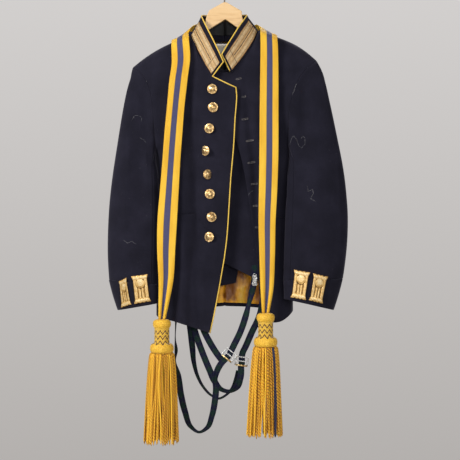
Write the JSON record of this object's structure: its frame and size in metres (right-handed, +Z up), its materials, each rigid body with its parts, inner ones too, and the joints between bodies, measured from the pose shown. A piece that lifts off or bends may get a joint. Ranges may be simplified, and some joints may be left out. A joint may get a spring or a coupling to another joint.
{
  "type": "military officer uniform on a wooden hanger",
  "caption": "Dress uniform tunic hung open at the collar on a wooden hanger, with gold lace, a tasselled striped sash, folded trousers inside and hanging braces.",
  "frame": {"origin": "where the hanger's hook bears on a rail, at the inner top of its bend", "axes": "+Z up, +X to the viewer's right, -Y out of the front of the tunic"},
  "size_m": [0.6031, 0.1451, 1.1632],
  "materials": {
    "wool": "navy wool cloth with a short nap",
    "trousers": "navy wool cloth",
    "collar_lining": "black satin",
    "neck_lining": "grey-olive lining",
    "skirt_lining": "golden yellow satin lining",
    "piping": "yellow wool cord",
    "sash": "ribbed ribbon, yellow, blue and yellow",
    "tassel": "golden yellow twisted cords",
    "gold_lace": "woven and embroidered gold thread",
    "button": "stamped gilt metal",
    "tape": "pale cotton tape",
    "brace": "dark green and navy checked webbing",
    "buckle": "white metal with gilt bars",
    "wood": "pale varnished wood",
    "hook": "steel wire"
  },
  "bodies": {
    "root": {"right_front": "wool", "right_front_skirt": "wool", "right_back": "wool", "right_back_skirt": "wool", "right_top_sleeve": "wool", "right_under_sleeve": "wool", "right_cuff": "wool", "collar_right": "wool", "collar_lining_right": "collar_lining", "back_neck_lining_right": "neck_lining", "right_skirt_lining": "skirt_lining", "collar_lace_right": "gold_lace", "piping_right": "piping", "sash_right": "sash", "tassel_head_right": "tassel", "tassel_fringe_right": "tassel", "cuff_tab_right_inner": "gold_lace", "cuff_tab_right_outer": "gold_lace", "left_front": "wool", "left_front_skirt": "wool", "left_back": "wool", "left_back_skirt": "wool", "left_top_sleeve": "wool", "left_under_sleeve": "wool", "left_cuff": "wool", "collar_left": "wool", "collar_lining_left": "collar_lining", "back_neck_lining_left": "neck_lining", "left_skirt_lining": "skirt_lining", "collar_lace_left": "gold_lace", "piping_left": "piping", "sash_left": "sash", "tassel_head_left": "tassel", "tassel_fringe_left": "tassel", "cuff_tab_left_inner": "gold_lace", "cuff_tab_left_outer": "gold_lace", "button_1": "button", "button_2": "button", "button_3": "button", "button_4": "button", "button_5": "button", "button_6": "button", "button_7": "button", "button_8": "button", "brace_1": "brace", "brace_2": "brace", "brace_3": "brace", "brace_4": "brace", "brace_5": "brace", "brace_6": "brace", "brace_buckle_1": "buckle", "brace_buckle_2": "buckle", "brace_clip": "buckle", "hanger_board": "wood", "hanger_bar": "wood", "hanger_hook": "hook", "hanger_loop": "tape", "trouser_leg_inner": "trousers", "trouser_leg_outer": "trousers"}
  },
  "joints": []
}
